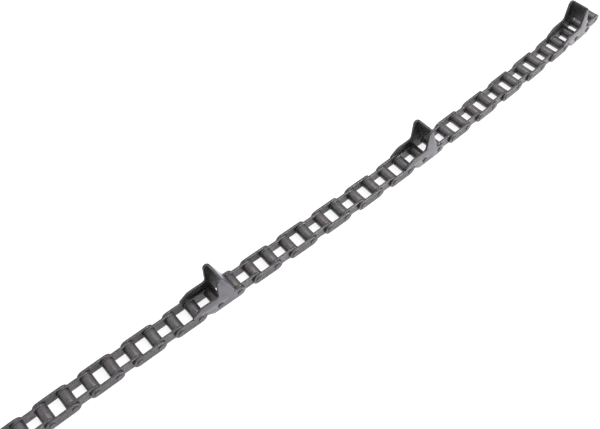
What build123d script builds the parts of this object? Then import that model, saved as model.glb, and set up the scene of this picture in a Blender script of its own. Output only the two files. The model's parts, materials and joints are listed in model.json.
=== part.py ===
from build123d import *
import os

# Steel conveyor chain with tall lugs, in millimetres, lying flat with its lugs up.
# +X runs along the first link, +Y along its pins, +Z towards the tips of the lugs.
# The origin is the middle of the open pin holes at the first end.

# Chain
pitch = 41.4
pitch_count = 36  # even, so that the chain starts with an outer link and ends with an inner one
roller_diameter = 22.2
roller_edge_chamfer = 0.8
inner_width = 26.0  # between the inner plates
pin_diameter = 9.5
bush_wall = 2.0
bush_stand_out = 0.15  # of the bush past the inner plate, which keeps the plates from rubbing
plate_height = 23.0  # of inner and outer plates alike
inner_plate_thickness = 4.1
outer_plate_thickness = 4.1
rivet_head_diameter = 11.6
rivet_head_height = 1.4
rivet_head_chamfer = 0.7

# Running clearances
pin_in_bush = 0.10  # on the radius
bush_in_roller = 0.10  # on the radius
roller_end_play = 0.3  # at each end of a roller
plate_side_play = 0.6  # between an inner plate and the outer plate beside it

# Lugs: each is one bent sheet that also forms both outer plates of its link
links_per_lug = 6  # every sixth outer link carries a lug
lug_height = 77.6  # of the top rim above the pins
lug_lean = 21.1  # degrees that the front wall leans back
lug_foot_set_back = 5.7  # from the front pin back to the front wall, at the top of the plate
lug_top_length = 12.0  # of a wing, from the rim back to its upright rear edge
lug_top_radius = 7.0
lug_bend_radius = 2.0  # inside the bends between the front wall and the wings
lug_wing_start = 15.0  # height at which the bends start
lug_arch_height = 23.0  # of the arch under the front wall, which clears rollers and teeth
lug_arch_radius = 5.0
heel_top = 29.2
heel_lap = 14.5  # reach of the heel past the nearest pin of the link behind
heel_end_height = 16.6
heel_ramp_length = 17.5
heel_gap = 1.0  # between the heel and the plate that it stops
heel_edge_radius = 2.5
wing_foot_radius = 6.0
heel_throat_length = 14.0  # of the sloping edge that joins the heel to the plate's lower edge

# Sideways play, taken up so that the chain lies in a slight bow
first_bow_pins = 9  # pins in the first bend
second_bow_start = 15
first_bow = -0.185  # degrees of turn at each of those pins
second_bow = 0.275

# Derived sizes
pin_radius = pin_diameter / 2
bush_bore_radius = pin_radius + pin_in_bush
bush_radius = bush_bore_radius + bush_wall
roller_bore_radius = bush_radius + bush_in_roller
roller_length = inner_width - 2 * roller_end_play
inner_plate_outside = inner_width / 2 + inner_plate_thickness
outer_plate_inside = inner_plate_outside + plate_side_play
outer_plate_outside = outer_plate_inside + outer_plate_thickness
bush_length = 2 * (inner_plate_outside + bush_stand_out)
spinning_roller_links = 12  # inner links whose rollers are parts of their own


def side_slab(outline, inner_face, thickness):
    """Stands an outline in the XZ plane up as a plate from y = inner_face outwards, and its mirror image."""
    plate = extrude(Plane.XZ.offset(-inner_face) * outline, amount=-thickness)
    return [plate, mirror(plate, about=Plane.XZ)]


def link_outline(height):
    return SlotCenterToCenter(pitch, height)


def holes(radius):
    return [Pos(x, 0) * Circle(radius) for x in (-pitch / 2, pitch / 2)]


def cross_cylinder(radius, length):
    """A cylinder along Y, centred on the origin."""
    return Rot(90, 0, 0) * Cylinder(radius, length)


def pin():
    """One riveted pin with both of its spread heads."""
    shank = cross_cylinder(pin_radius, 2 * outer_plate_outside)
    head = cross_cylinder(rivet_head_diameter / 2, rivet_head_height)
    head = Pos(0, outer_plate_outside + rivet_head_height / 2, 0) * head
    head = chamfer(head.edges().sort_by(Axis.Y)[-1], rivet_head_chamfer)
    return shank + head + mirror(head, about=Plane.XZ)


def roller():
    body = cross_cylinder(roller_diameter / 2, roller_length)
    rims = body.edges().filter_by(GeomType.CIRCLE)
    body = chamfer(rims, roller_edge_chamfer)
    return body - cross_cylinder(roller_bore_radius, roller_length)


def bush():
    return cross_cylinder(bush_radius, bush_length) - cross_cylinder(bush_bore_radius, bush_length)


def nearest_corner(sketch, x, y):
    return min(sketch.vertices(), key=lambda v: (v.X - x) ** 2 + (v.Y - y) ** 2)


def lug_lines():
    """Where the front wall's outer face stands: its foot on the plate, and its rim."""
    foot = Vector(pitch / 2 - lug_foot_set_back, 0, plate_height / 2)
    up_wall = Vector(0, 0, 1).rotate(Axis.Y, -lug_lean)
    rim = foot + up_wall * ((lug_height - foot.Z) / up_wall.Z)
    return foot, up_wall, rim


def lug_outline():
    """Side view of a lug link: its link plate, the heel behind it and the wing above it."""
    foot, up_wall, rim = lug_lines()
    rear_pin_x = -pitch / 2
    stopped_pin_x = rear_pin_x - pitch
    heel_end_x = stopped_pin_x - heel_lap
    heel_bottom = plate_height / 2 + heel_gap
    wing_rear_x = rim.X - lug_top_length
    sweep = plate_height / 2 + heel_gap  # room round the plate end that the heel covers

    heel = Polygon(
        (heel_end_x, heel_bottom),
        (stopped_pin_x, heel_bottom),
        (stopped_pin_x, 0),
        (stopped_pin_x + sweep, 0),
        (rear_pin_x - heel_throat_length, -plate_height / 2),
        (rear_pin_x, -plate_height / 2),
        (foot.X, foot.Z),
        (rim.X, rim.Z),
        (wing_rear_x, rim.Z),
        (wing_rear_x, heel_top),
        (heel_end_x + heel_ramp_length, heel_top),
        (heel_end_x, heel_end_height),
        align=None,
    )
    outline = heel + link_outline(plate_height) - Pos(stopped_pin_x, 0) * Circle(sweep)
    for x, z, radius in (
        (wing_rear_x, rim.Z, lug_top_radius),
        (wing_rear_x, heel_top, wing_foot_radius),
        (heel_end_x + heel_ramp_length, heel_top, heel_edge_radius),
        (heel_end_x, heel_end_height, heel_edge_radius),
    ):
        outline = fillet(nearest_corner(outline, x, z), radius)
    return outline


def lug_front():
    """The front wall and its two bends, as a channel pushed up along the leaning wall."""
    foot, up_wall, _ = lug_lines()
    across = outer_plate_outside
    sheet = outer_plate_thickness
    bend = lug_bend_radius + sheet
    section = Pos(0, bend) * Rectangle(2 * across, 2 * bend)
    section -= Pos(0, bend + sheet) * Rectangle(2 * (across - sheet), 2 * bend)
    for x in (-across, across):
        section = fillet(nearest_corner(section, x, 0), bend)
        section = fillet(nearest_corner(section, x - sheet if x > 0 else x + sheet, sheet), lug_bend_radius)
    section -= Pos(0, 2 * bend) * Rectangle(2 * across, 2 * bend)
    wall_plane = Plane(origin=foot, x_dir=(0, 1, 0), z_dir=up_wall)
    return extrude(wall_plane * section, amount=2 * lug_height)


def lug_sheet():
    """One bent sheet: two side walls with their wings and heels, joined by the front wall."""
    foot, up_wall, _ = lug_lines()
    outline = lug_outline()
    bend = lug_bend_radius + outer_plate_thickness
    across = 2 * outer_plate_outside
    top = 2 * lug_height
    above_start = Pos(0, 0, lug_wing_start) * Box(top, across, top, align=(Align.CENTER, Align.CENTER, Align.MIN))
    full_width = extrude(Plane.XZ * outline, amount=outer_plate_outside, both=True)

    wall_plane = Plane(origin=foot, x_dir=(0, 1, 0), z_dir=up_wall)
    corner_band = extrude(wall_plane * (Pos(0, bend / 2) * Rectangle(2 * across, bend)), amount=top, both=True)
    corner_band &= above_start
    walls = [wall - corner_band for wall in side_slab(outline, outer_plate_inside, outer_plate_thickness)]

    arch_half_width = outer_plate_outside - bend
    arch = Plane.YZ * RectangleRounded(2 * arch_half_width, 2 * lug_arch_height, lug_arch_radius)
    front = lug_front() & above_start & full_width
    front -= extrude(arch, amount=top, both=True)

    sheet = walls[0] + front + walls[1]
    for x in (-pitch / 2, pitch / 2):
        sheet -= Pos(x, 0, 0) * cross_cylinder(pin_radius, across)
    return sheet


def outer_link(with_lug, pin_places):
    """Two outer plates, or a lug sheet in their place, and the pins riveted in them."""
    if with_lug:
        plates = [lug_sheet()]
    else:
        outline = link_outline(plate_height) - holes(pin_radius)
        plates = side_slab(outline, outer_plate_inside, outer_plate_thickness)
    return plates + [Pos(x, 0, 0) * pin() for x in pin_places]


def inner_link(with_rollers):
    """Two inner plates on two bushes, with the rollers where they aren't parts of their own."""
    outline = link_outline(plate_height) - holes(bush_radius)
    solids = side_slab(outline, inner_width / 2, inner_plate_thickness)
    ends = [Pos(x, 0, 0) for x in (-pitch / 2, pitch / 2)]
    solids += [end * bush() for end in ends]
    if with_rollers:
        solids += [end * roller() for end in ends]
    return solids


def turn_at(pin_number):
    """Degrees that the chain turns sideways at a pin."""
    if 1 <= pin_number <= first_bow_pins:
        return first_bow
    if second_bow_start <= pin_number < pitch_count:
        return second_bow
    return 0.0


def chain_places():
    """Where each link's middle and each pin stands, following the bow from pin to pin."""
    pins = [Location((0, 0, 0))]
    links = []
    for number in range(pitch_count):
        at = pins[-1] * Rot(0, 0, turn_at(number))
        links.append(at * Pos(pitch / 2, 0, 0))
        pins.append(at * Pos(pitch, 0, 0))
    return links, pins


def save(name, solids, place):
    placed = [place * solid for solid in solids]
    export_step(Compound(children=[Solid(s.solid().wrapped) for s in placed], label=name), f"parts/{name}.step")


def build_chain():
    os.makedirs("parts", exist_ok=True)
    links, pins = chain_places()
    both_ends = (-pitch / 2, pitch / 2)
    start_link = outer_link(False, both_ends[1:])  # its open holes take the pin that joins the next length
    plain_link = outer_link(False, both_ends)
    lug_link = outer_link(True, both_ends)
    bare_inner_link = inner_link(False)
    rollered_inner_link = inner_link(True)
    loose_roller = [roller()]

    for pair in range(pitch_count // 2):
        number = pair + 1
        outer_place, inner_place = links[2 * pair], links[2 * pair + 1]
        if number % links_per_lug == 0:
            save(f"lug_link_{number:02d}", lug_link, outer_place)
        else:
            save(f"outer_link_{number:02d}", plain_link if pair else start_link, outer_place)
        if number > spinning_roller_links:
            save(f"inner_link_{number:02d}", rollered_inner_link, inner_place)
            continue
        save(f"inner_link_{number:02d}", bare_inner_link, inner_place)
        for side, x in (("a", -pitch / 2), ("b", pitch / 2)):
            save(f"roller_{number:02d}{side}", loose_roller, inner_place * Pos(x, 0, 0))


build_chain()
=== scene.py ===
import json
import math
import random

import bmesh
import bpy
from mathutils import Matrix, Vector

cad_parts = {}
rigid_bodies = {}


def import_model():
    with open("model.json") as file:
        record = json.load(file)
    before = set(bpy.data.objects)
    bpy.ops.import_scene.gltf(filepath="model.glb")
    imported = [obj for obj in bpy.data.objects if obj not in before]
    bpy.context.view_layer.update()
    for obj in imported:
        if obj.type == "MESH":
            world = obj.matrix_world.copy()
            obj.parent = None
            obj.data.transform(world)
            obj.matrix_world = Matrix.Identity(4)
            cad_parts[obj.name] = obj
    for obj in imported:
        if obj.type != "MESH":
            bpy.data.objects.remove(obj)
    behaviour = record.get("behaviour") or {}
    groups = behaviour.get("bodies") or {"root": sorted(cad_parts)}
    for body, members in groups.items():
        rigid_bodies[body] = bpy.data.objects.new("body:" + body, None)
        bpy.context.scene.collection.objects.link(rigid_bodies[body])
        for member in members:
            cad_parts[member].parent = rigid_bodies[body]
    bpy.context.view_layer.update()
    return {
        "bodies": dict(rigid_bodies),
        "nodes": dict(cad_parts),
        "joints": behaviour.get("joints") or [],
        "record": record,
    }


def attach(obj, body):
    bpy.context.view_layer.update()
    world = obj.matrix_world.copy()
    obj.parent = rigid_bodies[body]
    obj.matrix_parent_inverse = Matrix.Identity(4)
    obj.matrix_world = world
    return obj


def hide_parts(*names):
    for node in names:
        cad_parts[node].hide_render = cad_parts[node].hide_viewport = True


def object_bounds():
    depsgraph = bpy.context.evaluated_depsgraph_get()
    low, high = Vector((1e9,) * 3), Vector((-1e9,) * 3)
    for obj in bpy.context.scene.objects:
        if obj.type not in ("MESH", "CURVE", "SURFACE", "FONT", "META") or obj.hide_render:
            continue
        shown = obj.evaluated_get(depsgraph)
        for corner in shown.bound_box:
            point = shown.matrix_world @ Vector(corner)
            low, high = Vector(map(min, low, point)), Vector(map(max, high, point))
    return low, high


# A riveted steel roller chain with three tall bent-sheet lugs, laid on a pale floor.
# Every piece is made once in a link's own frame (X along the link, Y along its pins), then set
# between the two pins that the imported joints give.

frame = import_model()
mm = 0.001
tiny = 1e-6  # metres; points this close are one
hair = 0.01 * mm  # room between a rounding and the corner beside it
weld = 2 * hair  # points of a rounded outline this close are merged
print("frame loaded:", len(frame["nodes"]), "nodes")


def pinPlaces():
    hinges = {j["name"]: j["pos_m"] for j in frame["joints"]}
    mounts = {m["name"]: m["pos_m"] for m in frame["record"]["mounts"]}
    between = [hinges[name] for name in sorted(hinges) if name.startswith("pin_")]
    return [Vector(p) for p in [mounts["start_pin_holes"], *between, mounts["end_bush_bore"]]]


pins = pinPlaces()
pitch = (pins[1] - pins[0]).length
chainMiddle = (pins[0] + pins[-1]) / 2


def linkPlace(number):
    # the middle of the link between two neighbouring pins, turned along it
    start, end = pins[number], pins[number + 1]
    along = end - start
    turned = Matrix.Rotation(math.atan2(along.y, along.x), 4, "Z")
    return Matrix.Translation((start + end) / 2) @ turned


def everything(bm):
    return bm.verts[:] + bm.edges[:] + bm.faces[:]


def vertsOf(geom):
    return [g for g in geom if isinstance(g, bmesh.types.BMVert)]


def nearestVert(bm, x, y, z):
    target = Vector((x, y, z))
    return min(bm.verts, key=lambda v: (v.co - target).length)


def roundCorner(bm, corner, radius, segments):
    # rounds one corner of a flat outline; radius runs along both of its edges
    vert = nearestVert(bm, *corner)
    bmesh.ops.bevel(bm, geom=[vert], offset=radius, segments=segments, profile=0.5,
                    affect="VERTICES", material=-1)
    bmesh.ops.remove_doubles(bm, verts=bm.verts[:], dist=weld)


sharpAngle = math.radians(50)  # edges sharper than this are rounded off by wear
flatCosine = 0.999  # faces turned less than this from a plate's skin are shaded flat


def bevelWornGlintEdges(bm, width):
    edges = [e for e in bm.edges if e.is_manifold and e.calc_face_angle(0) > sharpAngle]
    bevel = bmesh.ops.bevel(bm, geom=edges, offset=width, segments=2, profile=0.5,
                            affect="EDGES", material=-1, clamp_overlap=True)
    # the bevels take the worn metal with painted glints
    for face in bevel["faces"]:
        face.material_index = wornGlintFace


def shade(bm, flatAxis=None):
    # curved faces smooth, the big flat ones flat
    for face in bm.faces:
        face.smooth = flatAxis is None or abs(face.normal.dot(flatAxis)) < flatCosine


def lathe(points, steps):
    # turns a profile of (radius, y) points about the Y axis
    bm = bmesh.new()
    verts = [bm.verts.new((r, y, 0)) for r, y in points]
    edges = [bm.edges.new(pair) for pair in zip(verts, verts[1:])]
    bmesh.ops.spin(bm, geom=verts + edges, cent=(0, 0, 0), axis=(0, 1, 0), angle=math.tau,
                   steps=steps, use_merge=True, use_duplicate=False)
    bmesh.ops.remove_doubles(bm, verts=bm.verts[:], dist=tiny)
    bmesh.ops.recalc_face_normals(bm, faces=bm.faces[:])
    return bm


def addCopies(part, places, into):
    # adds a part to another mesh at each place
    for place in places:
        mesh = bpy.data.meshes.new("copy")
        part.to_mesh(mesh)
        mesh.transform(place)
        if place.determinant() < 0:
            mesh.flip_normals()
        into.from_mesh(mesh)
        bpy.data.meshes.remove(mesh)


def makePiece(name, bm, place, body, materials, tone, replaced=None):
    mesh = bpy.data.meshes.new(name)
    bm.to_mesh(mesh)
    mesh.transform(place)
    for material in materials:
        mesh.materials.append(material)
    toneValues = mesh.attributes.new("tone", "FLOAT", "POINT")
    toneValues.data.foreach_set("value", [tone] * len(mesh.vertices))
    piece = bpy.data.objects.new(name, mesh)
    bpy.context.scene.collection.objects.link(piece)
    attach(piece, body)
    if replaced:
        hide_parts(replaced)


# how the noise is drawn out on every steel: its detail and roughness, and where it turns over
pattern = {"patchNoise": (3.0, 0.55), "patchTurns": (0.35, 0.65),
           "speckNoise": (5.0, 0.7), "speckTurns": (0.38, 0.68),
           "grainNoise": (4.0, 0.6), "smoother": 0.06, "rougher": 0.08}


def steel(name, look):
    # patches from dark to light, tinted by each piece's tone, with small specks and a fine grain
    material = bpy.data.materials.new(name)
    material.use_nodes = True
    nodes, links = material.node_tree.nodes, material.node_tree.links
    nodes.clear()
    output = nodes.new("ShaderNodeOutputMaterial")
    shader = nodes.new("ShaderNodeBsdfPrincipled")
    shader.inputs["Metallic"].default_value = look["metallic"]
    shader.inputs["Coat Weight"].default_value = look["oil"]
    shader.inputs["Coat Roughness"].default_value = look["oilRoughness"]
    links.new(shader.outputs["BSDF"], output.inputs["Surface"])
    place = nodes.new("ShaderNodeTexCoord").outputs["Object"]

    def noise(size, detail, roughness):
        node = nodes.new("ShaderNodeTexNoise")
        node.inputs["Scale"].default_value = 1 / size
        node.inputs["Detail"].default_value = detail
        node.inputs["Roughness"].default_value = roughness
        links.new(place, node.inputs["Vector"])
        return node.outputs["Fac"]

    def ramp(value, low, high, first=0.0, last=1.0):
        node = nodes.new("ShaderNodeMapRange")
        node.interpolation_type = "SMOOTHSTEP"
        ends = {"From Min": low, "From Max": high, "To Min": first, "To Max": last}
        for socket, number in ends.items():
            node.inputs[socket].default_value = number
        links.new(value, node.inputs["Value"])
        return node.outputs["Result"]

    def mixed(factor, first, second, blend="MIX"):
        node = nodes.new("ShaderNodeMix")
        node.data_type = "RGBA"
        node.blend_type = blend
        for label, value in (("Factor", factor), ("A", first), ("B", second)):
            socket = next(s for s in node.inputs if s.name == label and s.enabled)
            if isinstance(value, bpy.types.NodeSocket):
                links.new(value, socket)
            else:
                socket.default_value = value if isinstance(value, float) else (*value, 1)
        return next(s for s in node.outputs if s.enabled)

    toneNode = nodes.new("ShaderNodeAttribute")
    toneNode.attribute_name = "tone"
    patches = ramp(noise(look["patchSize"], *pattern["patchNoise"]), *pattern["patchTurns"])
    specks = ramp(noise(look["speckSize"], *pattern["speckNoise"]), *pattern["speckTurns"])
    colour = mixed(patches, look["dark"], look["light"])
    colour = mixed(toneNode.outputs["Fac"], colour, mixed(1.0, colour, look["tint"], "MULTIPLY"))
    colour = mixed(ramp(specks, 0.0, 1.0, 0.0, look["speckAmount"]), colour, look["speck"])
    links.new(colour, shader.inputs["Base Color"])
    smoothest = look["roughness"] - pattern["smoother"]
    roughest = look["roughness"] + pattern["rougher"]
    links.new(ramp(specks, 0.0, 1.0, smoothest, roughest), shader.inputs["Roughness"])

    bump = nodes.new("ShaderNodeBump")
    bump.inputs["Strength"].default_value = look["bump"]
    bump.inputs["Distance"].default_value = look["bumpDepth"]
    links.new(noise(look["grainSize"], *pattern["grainNoise"]), bump.inputs["Height"])
    links.new(bump.outputs["Normal"], shader.inputs["Normal"])
    return material


plateSteel = steel("oiledPlateSteel", {
    "metallic": 0.5, "roughness": 0.45, "oil": 0.25, "oilRoughness": 0.3,
    "dark": (0.031, 0.0275, 0.0315), "light": (0.073, 0.0655, 0.0745), "patchSize": 6 * mm,
    "tint": (2.2, 2.25, 2.25),
    "speck": (0.13, 0.124, 0.134), "speckAmount": 0.3, "speckSize": 1.0 * mm,
    "grainSize": 0.6 * mm, "bump": 0.35, "bumpDepth": 0.1 * mm})
# dark oxide of the cut edges, with bright specks that are painted glints; it also forms the painted
# shade ring on the pin heads
shearedGlintShadeSteel = steel("shearedEdgeSteelPaintedGlintsAndShade", {
    "metallic": 0.4, "roughness": 0.5, "oil": 0.15, "oilRoughness": 0.35,
    "dark": (0.016, 0.0148, 0.016), "light": (0.042, 0.0395, 0.042), "patchSize": 4 * mm,
    "tint": (1.1, 1.1, 1.1),
    "speck": (0.3, 0.295, 0.3), "speckAmount": 0.34, "speckSize": 1.4 * mm,
    "grainSize": 0.7 * mm, "bump": 0.5, "bumpDepth": 0.15 * mm})
lugSteel = steel("pressedLugSteel", {
    "metallic": 0.4, "roughness": 0.46, "oil": 0.6, "oilRoughness": 0.22,
    "dark": (0.09, 0.083, 0.101), "light": (0.128, 0.119, 0.142), "patchSize": 22 * mm,
    "tint": (1.05, 0.99, 0.98),
    "speck": (0.17, 0.163, 0.185), "speckAmount": 0.15, "speckSize": 1.3 * mm,
    "grainSize": 0.9 * mm, "bump": 0.18, "bumpDepth": 0.08 * mm})
# a darker steel for the inward faces of outer plates and lugs: painted shade where little light
# reaches
insideShadeSteel = steel("paintedShadeInsideSteel", {
    "metallic": 0.3, "roughness": 0.55, "oil": 0.2, "oilRoughness": 0.35,
    "dark": (0.032, 0.0302, 0.0326), "light": (0.063, 0.0592, 0.0642), "patchSize": 12 * mm,
    "tint": (1.15, 1.1, 1.1),
    "speck": (0.1, 0.097, 0.1), "speckAmount": 0.25, "speckSize": 1.2 * mm,
    "grainSize": 0.8 * mm, "bump": 0.3, "bumpDepth": 0.12 * mm})
# worn metal on the bevels, lighter than the plate, with bright specks that are painted glints
wornGlintSteel = steel("wornCornerPaintedGlintSteel", {
    "metallic": 0.8, "roughness": 0.38, "oil": 0.3, "oilRoughness": 0.3,
    "dark": (0.025, 0.023, 0.025), "light": (0.085, 0.08, 0.085), "patchSize": 5 * mm,
    "tint": (1.1, 1.1, 1.1),
    "speck": (0.55, 0.54, 0.55), "speckAmount": 0.5, "speckSize": 1.8 * mm,
    "grainSize": 0.6 * mm, "bump": 0.3, "bumpDepth": 0.08 * mm})
rollerSteel = steel("brownedRollerSteel", {
    "metallic": 0.5, "roughness": 0.4, "oil": 0.25, "oilRoughness": 0.3,
    "dark": (0.067, 0.065, 0.067), "light": (0.1, 0.0965, 0.0985), "patchSize": 9 * mm,
    "tint": (1.08, 0.95, 1.03),
    "speck": (0.15, 0.143, 0.145), "speckAmount": 0.25, "speckSize": 0.9 * mm,
    "grainSize": 0.6 * mm, "bump": 0.2, "bumpDepth": 0.08 * mm})
pinSteel = steel("hardenedPinSteel", {
    "metallic": 0.5, "roughness": 0.4, "oil": 0.4, "oilRoughness": 0.3,
    "dark": (0.055, 0.053, 0.055), "light": (0.085, 0.083, 0.085), "patchSize": 4 * mm,
    "tint": (1.2, 1.1, 1.1),
    "speck": (0.16, 0.155, 0.16), "speckAmount": 0.25, "speckSize": 0.8 * mm,
    "grainSize": 0.6 * mm, "bump": 0.3, "bumpDepth": 0.08 * mm})
print("steels mixed")

# where each surface finds its steel in a link's list
skin, cutEdgeAndShadeRing, fastener, inside, wornGlintFace = range(5)

plateShape = {"height": 23.0 * mm, "thickness": 4.1 * mm, "edge": 0.45 * mm, "segments": 56,
              "edgeOn": 0.8}  # a face is cut edge where its normal's Y is under edgeOn
innerPlate = {**plateShape, "hole": 6.85 * mm, "inside": 13.0 * mm}
outerPlate = {**plateShape, "hole": 4.75 * mm, "inside": 17.7 * mm}
outerFace = outerPlate["inside"] + outerPlate["thickness"]  # from a link's middle to its outside


def linkPlate(shape):
    # one blanked plate with round ends and two holes, its inner face at shape["inside"]
    bm = bmesh.new()
    centre = Matrix.Translation((pitch / 2, 0, 0))
    for radius in (shape["height"] / 2, shape["hole"]):
        bmesh.ops.create_circle(bm, segments=shape["segments"], radius=radius, matrix=centre)
    bmesh.ops.bridge_loops(bm, edges=bm.edges[:])
    farSide = [v for v in bm.verts if v.co.x < pitch / 2 - tiny
               and (v.co - centre.translation).length > shape["hole"] + tiny]
    bmesh.ops.delete(bm, geom=farSide, context="VERTS")
    # the open side of the ring is drawn out to the middle of the link
    openSide = [e for e in bm.edges if all(v.co.x < pitch / 2 + tiny for v in e.verts)]
    drawn = bmesh.ops.extrude_edge_only(bm, edges=openSide)["geom"]
    for vert in vertsOf(drawn):
        vert.co.x = 0
    bmesh.ops.remove_doubles(bm, verts=bm.verts[:], dist=tiny)
    bmesh.ops.mirror(bm, geom=everything(bm), axis="X", merge_dist=tiny)
    bmesh.ops.rotate(bm, verts=bm.verts[:], cent=(0, 0, 0),
                     matrix=Matrix.Rotation(math.pi / 2, 3, "X"))
    grown = bmesh.ops.extrude_face_region(bm, geom=bm.faces[:])["geom"]
    bmesh.ops.translate(bm, vec=(0, shape["thickness"], 0), verts=vertsOf(grown))
    bmesh.ops.translate(bm, vec=(0, shape["inside"], 0), verts=bm.verts[:])
    bmesh.ops.recalc_face_normals(bm, faces=bm.faces[:])
    for face in bm.faces:
        if abs(face.normal.y) < shape["edgeOn"]:
            face.material_index = cutEdgeAndShadeRing
        else:
            face.material_index = skin if face.normal.y > 0 else inside
    bevelWornGlintEdges(bm, shape["edge"])
    shade(bm, Vector((0, 1, 0)))
    return bm


# the crown of a head is (radius, depth under its top) in mm, from the dimple outwards
pinShape = {"radius": 4.75 * mm, "headRadius": 5.8 * mm, "headHeight": 1.4 * mm, "steps": 36,
            "crown": ((0, 0.5), (0.99, 0.5), (1.8, 0.06), (2.7, 0), (4.6, 0.08), (5.32, 0.27),
                      (5.71, 0.69)),
            "unshadedShare": 0.7}  # of the head's radius, inside the outer ring that is painted dark as shade


def rivetedPin(shape):
    # both heads are spun over the outer plates, each with a shallow dimple and an outer ring
    # painted dark as shade
    top = outerFace + shape["headHeight"]
    head = [(radius * mm, top - depth * mm) for radius, depth in shape["crown"]]
    head += [(shape["headRadius"], outerFace), (shape["radius"], outerFace - tiny)]
    otherHead = [(r, -y) for r, y in reversed(head)]
    bm = lathe(head + otherHead, shape["steps"])
    shade(bm)
    for face in bm.faces:
        middle = face.calc_center_median()
        unshaded = math.hypot(middle.x, middle.z) < shape["unshadedShare"] * shape["headRadius"]
        face.material_index = fastener if unshaded else cutEdgeAndShadeRing
    return bm


bushShape = {"radius": 6.85 * mm, "bore": 4.85 * mm, "halfLength": 17.25 * mm,
             "edge": 0.3 * mm, "boreEdge": 0.15 * mm, "steps": 40}
rollerShape = {"radius": 11.1 * mm, "bore": 6.95 * mm, "halfLength": 12.7 * mm,
               "edge": 0.8 * mm, "boreEdge": 0.4 * mm, "steps": 64}
rounding = ((1, 0), (0.62, 0.08), (0.08, 0.62), (0, 1))  # shares of the edge, end to side


def turnedTube(shape):
    # a bush or a roller: a tube with rounded ends
    radius, bore, end = shape["radius"], shape["bore"], shape["halfLength"]
    half = [(bore, 0), (bore, end - shape["boreEdge"]), (bore + shape["boreEdge"], end)]
    half += [(radius - inwards * shape["edge"], end - back * shape["edge"])
             for inwards, back in rounding]
    half.append((radius, 0))
    bm = lathe(half, shape["steps"])
    bmesh.ops.mirror(bm, geom=everything(bm), axis="Y", merge_dist=tiny)
    bmesh.ops.recalc_face_normals(bm, faces=bm.faces[:])
    shade(bm, Vector((0, 1, 0)))
    return bm


lugShape = {
    "height": 77.6 * mm, "lean": math.radians(21.1), "footSetBack": 5.7 * mm,
    "topLength": 12.0 * mm, "topRadius": 7.0 * mm, "topSegments": 8,
    "outsideBend": 6.1 * mm, "bendSteps": 7, "wingStart": 15.0 * mm,
    "wingFoot": 6.0 * mm, "footSegments": 6,
    "archHeight": 23.0 * mm, "archRadius": 5.0 * mm, "archSteps": 7,
    "heelTop": 29.2 * mm, "heelLap": 14.5 * mm, "heelEnd": 16.6 * mm, "heelRamp": 17.5 * mm,
    "heelGap": 1.0 * mm, "heelEdge": 2.5 * mm, "heelSegments": 4,
    "throat": 14.0 * mm, "plateEndSegments": 14, "holeSegments": 36, "edge": 0.5 * mm}


def frontX(z):
    # where the front wall's outer face stands at a height
    foot = pitch / 2 - lugShape["footSetBack"]
    return foot - (z - plateShape["height"] / 2) * math.tan(lugShape["lean"])


def upright(bm):
    # from the link's own X to the distance square to the leaning front wall
    for vert in bm.verts:
        vert.co.x = (vert.co.x - frontX(vert.co.z)) * math.cos(lugShape["lean"])


def leant(bm):
    # and back again
    for vert in bm.verts:
        vert.co.x = frontX(vert.co.z) + vert.co.x / math.cos(lugShape["lean"])


def cut(bm, point, normal, above=-math.inf):
    # cuts the faces that stand wholly above a height
    faces = [f for f in bm.faces if min(v.co.z for v in f.verts) > above - tiny]
    geom = {g for f in faces for g in (f, *f.edges, *f.verts)}
    bmesh.ops.bisect_plane(bm, geom=list(geom), dist=tiny, plane_co=point, plane_no=normal)


def lugWall(y):
    # side wall with its heel and wing, as a flat skin with the two pin holes, cut back for the bend
    s = lugShape
    half = plateShape["height"] / 2
    front, rear, stopped = pitch / 2, -pitch / 2, -pitch * 1.5  # pins, the last under the heel
    sweep = half + s["heelGap"]
    heelEnd = stopped - s["heelLap"]
    rim = frontX(s["height"])
    wingRear = rim - s["topLength"]
    corners = [
        (heelEnd, sweep), (stopped + sweep, sweep), (stopped + sweep, 0),
        (rear - s["throat"], -half), (front + half, -half), (front + half, half),
        (frontX(half), half), (rim, s["height"]), (wingRear, s["height"]),
        (wingRear, s["heelTop"]), (heelEnd + s["heelRamp"], s["heelTop"]),
        (heelEnd, s["heelEnd"])]
    bm = bmesh.new()
    bm.faces.new([bm.verts.new((x, y, z)) for x, z in corners])
    for x, z, radius, segments in (
            (front + half, -half, half - hair, s["plateEndSegments"]),
            (front + half, half, half - hair, s["plateEndSegments"]),
            (stopped + sweep, sweep, sweep - hair, s["plateEndSegments"]),
            (wingRear, s["height"], s["topRadius"], s["topSegments"]),
            (wingRear, s["heelTop"], s["wingFoot"], s["footSegments"]),
            (heelEnd + s["heelRamp"], s["heelTop"], s["heelEdge"], s["heelSegments"]),
            (heelEnd, s["heelEnd"], s["heelEdge"], s["heelSegments"])):
        roundCorner(bm, (x, y, z), radius, segments)
    # above the wing's start, the strip ahead of the bend goes
    cut(bm, (0, 0, s["wingStart"]), (0, 0, 1))
    forward = Vector((math.cos(s["lean"]), 0, math.sin(s["lean"])))
    bendStart = Vector((rim, 0, s["height"])) - s["outsideBend"] * forward
    cut(bm, bendStart, forward, above=s["wingStart"])
    ahead = max(bm.faces, key=lambda f: f.calc_center_median().dot(forward))
    bmesh.ops.delete(bm, geom=[ahead], context="FACES")
    # the edge left there is split at the foot of the arch's corner
    cut(bm, (0, 0, s["archHeight"] - s["archRadius"]), (0, 0, 1), above=s["wingStart"])
    # the lowest face is filled again round the two pin holes
    foot = min(bm.faces, key=lambda f: f.calc_center_median().z)
    rims = set(foot.edges)
    bmesh.ops.delete(bm, geom=[foot], context="FACES_ONLY")
    for x in (rear, front):
        place = Matrix.Translation((x, y, 0)) @ Matrix.Rotation(math.pi / 2, 4, "X")
        hole = bmesh.ops.create_circle(bm, segments=s["holeSegments"], radius=outerPlate["hole"],
                                       matrix=place)
        rims.update(e for v in hole["verts"] for e in v.link_edges)
    bmesh.ops.triangle_fill(bm, use_beauty=True, use_dissolve=False, edges=list(rims),
                            normal=(0, 1, 0))
    return bm


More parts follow.
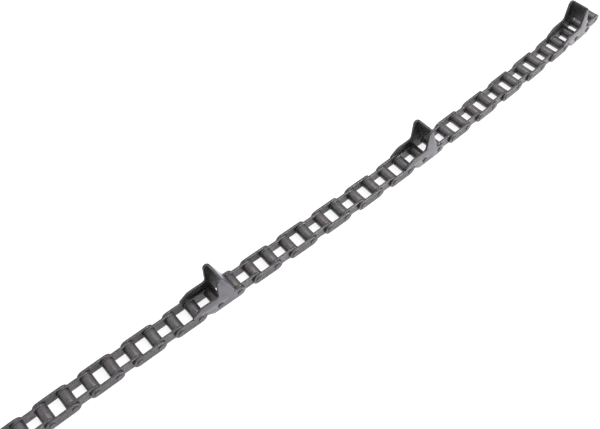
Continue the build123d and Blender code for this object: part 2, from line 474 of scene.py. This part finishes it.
def lugSheet():
    # one wall is carried round its bend to the middle of the front wall, mirrored and
    # thickened inwards
    s = lugShape
    turn = outerFace - s["outsideBend"]
    bm = lugWall(outerFace)
    upright(bm)
    seam = [e for e in bm.edges if all(abs(v.co.x + s["outsideBend"]) < hair for v in e.verts)]
    bmesh.ops.spin(bm, geom=[*seam, *{v for e in seam for v in e.verts}],
                   cent=(-s["outsideBend"], turn, 0), axis=(0, 0, 1), angle=-math.pi / 2,
                   steps=s["bendSteps"])
    # the arch's corner, then the rest of half the front wall as one face
    low = nearestVert(bm, 0, turn, s["archHeight"] - s["archRadius"])
    top = nearestVert(bm, 0, turn, s["height"])
    arch = bmesh.ops.spin(bm, geom=[low], cent=(0, turn - s["archRadius"], low.co.z),
                          axis=(1, 0, 0), angle=math.pi / 2, steps=s["archSteps"])
    crown = vertsOf(arch["geom_last"])[0]
    path = [crown, bm.verts.new((0, 0, crown.co.z)), bm.verts.new((0, 0, top.co.z)), top]
    for pair in zip(path, path[1:]):
        bm.edges.new(pair)
    wallEdges = [e for e in bm.edges if all(abs(v.co.x) < tiny for v in e.verts)
                 and min(v.co.z for v in e.verts) > low.co.z - tiny]
    bmesh.ops.contextual_create(bm, geom=wallEdges)
    bmesh.ops.mirror(bm, geom=everything(bm), axis="Y", merge_dist=tiny)
    bmesh.ops.recalc_face_normals(bm, faces=bm.faces[:])
    if max(bm.faces, key=lambda f: f.calc_center_median().y).normal.y < 0:
        bmesh.ops.reverse_faces(bm, faces=bm.faces[:])
    outerVerts = set(bm.verts)
    bmesh.ops.solidify(bm, geom=bm.faces[:], thickness=outerPlate["thickness"])
    # faces turned inwards take the inside slot, which holds the painted-shade steel on a lug
    for face in bm.faces:
        onOutside = sum(v in outerVerts for v in face.verts)
        if 0 < onOutside < len(face.verts):
            face.material_index = cutEdgeAndShadeRing
        else:
            face.material_index = skin if onOutside else inside
    leant(bm)
    bmesh.ops.recalc_face_normals(bm, faces=bm.faces[:])
    bevelWornGlintEdges(bm, s["edge"])
    shade(bm)
    return bm


bothEnds = [Matrix.Translation((x, 0, 0)) for x in (-pitch / 2, pitch / 2)]
bothSides = [Matrix.Identity(4), Matrix.Scale(-1, 4, (0, 1, 0))]
plateOuter, plateInner = linkPlate(outerPlate), linkPlate(innerPlate)
pin, bush, roller = rivetedPin(pinShape), turnedTube(bushShape), turnedTube(rollerShape)
for face in bush.faces:
    face.material_index = fastener
sheet = lugSheet()
print("parts modelled")

toneSpread = {"seed": 41, "outer": 0.2, "inner": 0.3}  # rollers take any tone from 0 to 1
tones = random.Random(toneSpread["seed"])


def outerLink(number, node):
    bm = bmesh.new()
    if node.startswith("lug"):
        addCopies(sheet, bothSides[:1], bm)
        slot, skinSteel = "lug_sheet", lugSteel
    else:
        addCopies(plateOuter, bothSides, bm)
        slot, skinSteel = "outer_plate", plateSteel
    addCopies(pin, bothEnds[1:] if number == 0 else bothEnds, bm)
    # inward faces take the painted-shade steel here; an inner link keeps plate steel there
    makePiece(f"{node}_steel", bm, linkPlace(number), node,
              [skinSteel, shearedGlintShadeSteel, pinSteel, insideShadeSteel, wornGlintSteel],
              toneSpread["outer"] * tones.random(), node)


def innerLink(number, node):
    bm = bmesh.new()
    addCopies(plateInner, bothSides, bm)
    addCopies(bush, bothEnds, bm)
    makePiece(f"{node}_steel", bm, linkPlace(number), node,
              [plateSteel, shearedGlintShadeSteel, rollerSteel, plateSteel, wornGlintSteel],
              1 - toneSpread["inner"] * tones.random(), node)
    for end, side in zip(bothEnds, "ab"):
        own = node.replace("inner_link", "roller") + side
        body = own if own in frame["bodies"] else node
        makePiece(f"{own}_steel", roller, linkPlace(number) @ end, body,
                  [rollerSteel], tones.random(), own if own in frame["nodes"] else None)


for number in range(len(pins) - 1):
    ending = f"_link_{number // 2 + 1:02d}"
    if number % 2:
        innerLink(number, "inner" + ending)
    else:
        outerLink(number, ("lug" if "lug" + ending in frame["nodes"] else "outer") + ending)

studio = {"floorColour": 0.4, "floorSize": 12.0, "glow": 0.84, "worldStrength": 0.45,
          "keyPower": 60, "keyPlace": (2.0, -1.5, 1.7), "keySize": 1.2,
          "fillPower": 24, "fillPlace": (1.2, 0.3, 2.6), "fillSize": 1.8}


def seenRays(nodes, links):
    # 1 for rays that only show the background, straight or in the metal, 0 for those that light
    path = nodes.new("ShaderNodeLightPath")
    seen = path.outputs["Is Camera Ray"]
    for name in ("Is Glossy Ray", "Is Transmission Ray"):
        either = nodes.new("ShaderNodeMath")
        either.operation = "MAXIMUM"
        links.new(seen, either.inputs[0])
        links.new(path.outputs[name], either.inputs[1])
        seen = either.outputs["Value"]
    return seen


def strengthOf(nodes, links, lighting, shown):
    node = nodes.new("ShaderNodeMapRange")
    node.inputs["To Min"].default_value = lighting
    node.inputs["To Max"].default_value = shown
    links.new(seenRays(nodes, links), node.inputs["Value"])
    return node.outputs["Result"]


def floorPaint():
    # a white floor that still takes the chain's shadow
    material = bpy.data.materials.new("paleFloor")
    material.use_nodes = True
    nodes, links = material.node_tree.nodes, material.node_tree.links
    nodes.clear()
    paint = nodes.new("ShaderNodeBsdfDiffuse")
    paint.inputs["Color"].default_value = (*[studio["floorColour"]] * 3, 1)
    glow = nodes.new("ShaderNodeEmission")
    links.new(strengthOf(nodes, links, 0.0, studio["glow"]), glow.inputs["Strength"])
    both = nodes.new("ShaderNodeAddShader")
    links.new(paint.outputs["BSDF"], both.inputs[0])
    links.new(glow.outputs["Emission"], both.inputs[1])
    output = nodes.new("ShaderNodeOutputMaterial")
    links.new(both.outputs["Shader"], output.inputs["Surface"])
    return material


def makeFloor():
    bm = bmesh.new()
    bmesh.ops.create_grid(bm, x_segments=1, y_segments=1, size=studio["floorSize"] / 2)
    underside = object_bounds()[0][2]
    bmesh.ops.translate(bm, vec=(chainMiddle.x, chainMiddle.y, underside), verts=bm.verts[:])
    mesh = bpy.data.meshes.new("floor")
    bm.to_mesh(mesh)
    mesh.materials.append(floorPaint())
    floor = bpy.data.objects.new("floor", mesh)
    bpy.context.scene.collection.objects.link(floor)


def softLight(name, power, place, size):
    light = bpy.data.lights.new(name, "AREA")
    light.energy = power
    light.shape = "DISK"
    light.size = size
    lamp = bpy.data.objects.new(name, light)
    lamp.location = place
    lamp.rotation_euler = (chainMiddle - Vector(place)).to_track_quat("-Z", "Y").to_euler()
    bpy.context.scene.collection.objects.link(lamp)


def makeWorld():
    world = bpy.data.worlds.new("studio")
    world.use_nodes = True
    nodes, links = world.node_tree.nodes, world.node_tree.links
    background = nodes["Background"]
    background.inputs["Color"].default_value = (1, 1, 1, 1)
    links.new(strengthOf(nodes, links, studio["worldStrength"], 1.0),
              background.inputs["Strength"])
    bpy.context.scene.world = world


makeFloor()
softLight("keyLight", studio["keyPower"], studio["keyPlace"], studio["keySize"])
softLight("fillLight", studio["fillPower"], studio["fillPlace"], studio["fillSize"])
makeWorld()

# in metres and degrees, with the lens and sensor in millimetres
view = {"place": (0.0694, -0.6082, 1.2331), "heading": 47.997, "dip": 55.290, "roll": 0.865,
        "lens": 48.50, "sensor": 36, "nearest": 0.01}


def makeCamera():
    heading, dip, roll = (math.radians(view[k]) for k in ("heading", "dip", "roll"))
    level = Vector((math.cos(heading), math.sin(heading), 0))
    ahead = level * math.cos(dip) - Vector((0, 0, math.sin(dip)))
    right = Vector((math.sin(heading), -math.cos(heading), 0))
    up = right.cross(ahead)
    axes = Matrix((right, up, -ahead)).transposed().to_4x4()
    data = bpy.data.cameras.new("camera")
    data.sensor_fit = "HORIZONTAL"
    data.sensor_width = view["sensor"]
    data.lens = view["lens"]
    data.clip_start = view["nearest"]
    camera = bpy.data.objects.new("camera", data)
    camera.matrix_world = Matrix.Translation(view["place"]) @ axes @ Matrix.Rotation(roll, 4, "Z")
    bpy.context.scene.collection.objects.link(camera)
    bpy.context.scene.camera = camera


makeCamera()
bpy.context.scene.view_settings.view_transform = "Standard"
print("studio set")
